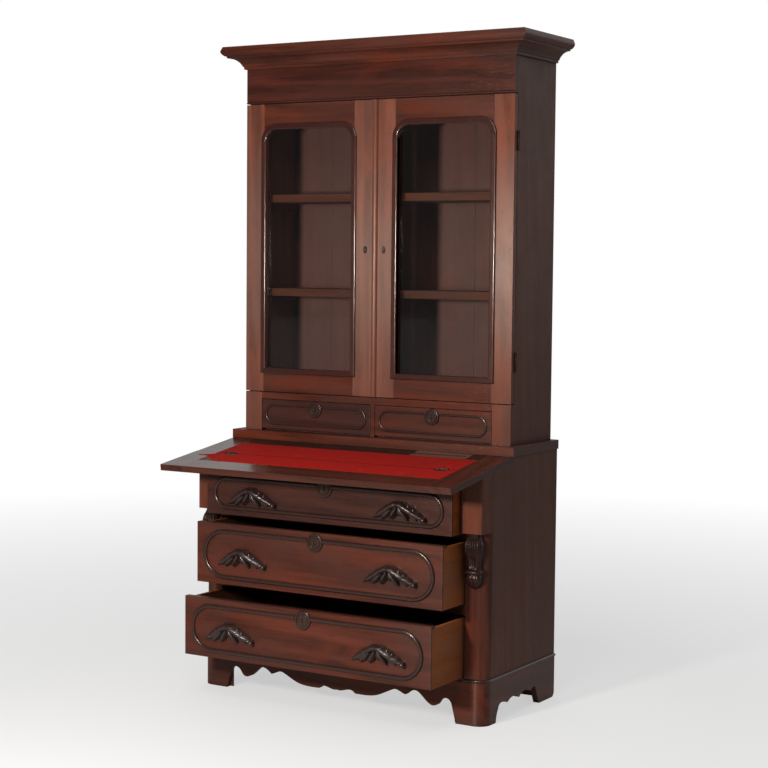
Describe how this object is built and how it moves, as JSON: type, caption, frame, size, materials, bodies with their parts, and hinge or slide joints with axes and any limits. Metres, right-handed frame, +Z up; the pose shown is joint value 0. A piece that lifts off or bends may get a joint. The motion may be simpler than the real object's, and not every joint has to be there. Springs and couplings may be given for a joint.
{
  "type": "secretary desk",
  "caption": "Tall wooden secretary desk: a glazed bookcase over small drawers, a sloping felt writing surface with a fold-back lid, and a chest of long drawers below.",
  "frame": {"origin": "on the floor, under the middle of the desk with its lid and long drawers open as they stand at rest", "axes": "+X to the right of someone facing the desk, +Y from front to back, +Z up"},
  "size_m": [1.174, 0.738, 2.1895],
  "materials": {
    "walnut": "old reddish walnut, satin, worn",
    "side_walnut": "old dark walnut, dull and dry",
    "ebonised": "near-black stained walnut, satin",
    "drawer_wood": "bare softwood, aged golden",
    "shelf_wood": "dull brown softwood",
    "felt": "red wool felt, faded towards the back",
    "glass": "clear old window glass",
    "old_brass": "tarnished brass",
    "old_iron": "dark dull iron"
  },
  "bodies": {
    "case": {"base_side_panels": "side_walnut", "corner_posts": "walnut", "console_blocks": "walnut", "corbels": "ebonised", "plinth_boards": "walnut", "bracket_feet": "walnut", "ring_moulding": "walnut", "blades_and_rails": "walnut", "drawer_runners": "drawer_wood", "base_back_boards": "shelf_wood", "deck": "walnut", "bed_frame": "walnut", "bed_felt": "felt", "lid_hinge_bed_leaves": "old_brass", "bookcase_sides": "side_walnut", "bookcase_boards": "shelf_wood", "shelves": "shelf_wood", "shelf_cleats": "shelf_wood", "bookcase_back_boards": "shelf_wood", "small_drawer_surround": "walnut", "frieze": "walnut", "cornice": "walnut", "door_hinge_case_leaves": "old_brass"},
    "lid": {"lid_frame": "walnut", "lid_felt": "felt", "lid_hinge_leaves": "old_brass"},
    "left_door": {"left_door_frame": "walnut", "left_door_moulding": "walnut", "left_door_glass": "glass", "left_door_lock": "old_iron", "left_door_hinge_leaves": "old_brass"},
    "right_door": {"right_door_frame": "walnut", "right_door_moulding": "walnut", "right_door_glass": "glass", "right_door_lock": "old_iron", "right_door_hinge_leaves": "old_brass", "door_astragal": "walnut"},
    "upper_drawer": {"upper_drawer_front": "walnut", "upper_drawer_box": "drawer_wood", "upper_drawer_moulding": "ebonised", "upper_drawer_pulls": "ebonised", "upper_drawer_lock": "ebonised"},
    "middle_drawer": {"middle_drawer_front": "walnut", "middle_drawer_box": "drawer_wood", "middle_drawer_moulding": "ebonised", "middle_drawer_pulls": "ebonised", "middle_drawer_lock": "ebonised"},
    "lower_drawer": {"lower_drawer_front": "walnut", "lower_drawer_box": "drawer_wood", "lower_drawer_moulding": "ebonised", "lower_drawer_pulls": "ebonised", "lower_drawer_lock": "ebonised"},
    "left_small_drawer": {"left_small_drawer_front": "walnut", "left_small_drawer_box": "drawer_wood", "left_small_drawer_moulding": "ebonised", "left_small_drawer_lock": "ebonised"},
    "right_small_drawer": {"right_small_drawer_front": "walnut", "right_small_drawer_box": "drawer_wood", "right_small_drawer_moulding": "ebonised", "right_small_drawer_lock": "ebonised"}
  },
  "joints": [
    {"name": "lid_fold", "type": "hinge", "parent": "case", "child": "lid", "pos_m": [0, -0.16664, 0.81035], "axis": [-1, 0, 0], "range_deg": [0, 180]},
    {"name": "left_door_hinge", "type": "hinge", "parent": "case", "child": "left_door", "pos_m": [-0.5234, 0.0965, 1.49], "axis": [0, 0, -1], "range_deg": [0, 160]},
    {"name": "right_door_hinge", "type": "hinge", "parent": "case", "child": "right_door", "pos_m": [0.5234, 0.0965, 1.49], "axis": [0, 0, 1], "range_deg": [0, 160]},
    {"name": "upper_drawer_slide", "type": "slide", "parent": "case", "child": "upper_drawer", "axis": [0, -1, 0], "range_m": [-0.053, 0.247]},
    {"name": "middle_drawer_slide", "type": "slide", "parent": "case", "child": "middle_drawer", "axis": [0, -1, 0], "range_m": [-0.141, 0.149]},
    {"name": "lower_drawer_slide", "type": "slide", "parent": "case", "child": "lower_drawer", "axis": [0, -1, 0], "range_m": [-0.207, 0.083]},
    {"name": "left_small_drawer_slide", "type": "slide", "parent": "case", "child": "left_small_drawer", "axis": [0, -1, 0], "range_m": [0, 0.16]},
    {"name": "right_small_drawer_slide", "type": "slide", "parent": "case", "child": "right_small_drawer", "axis": [0, -1, 0], "range_m": [0, 0.16]}
  ]
}
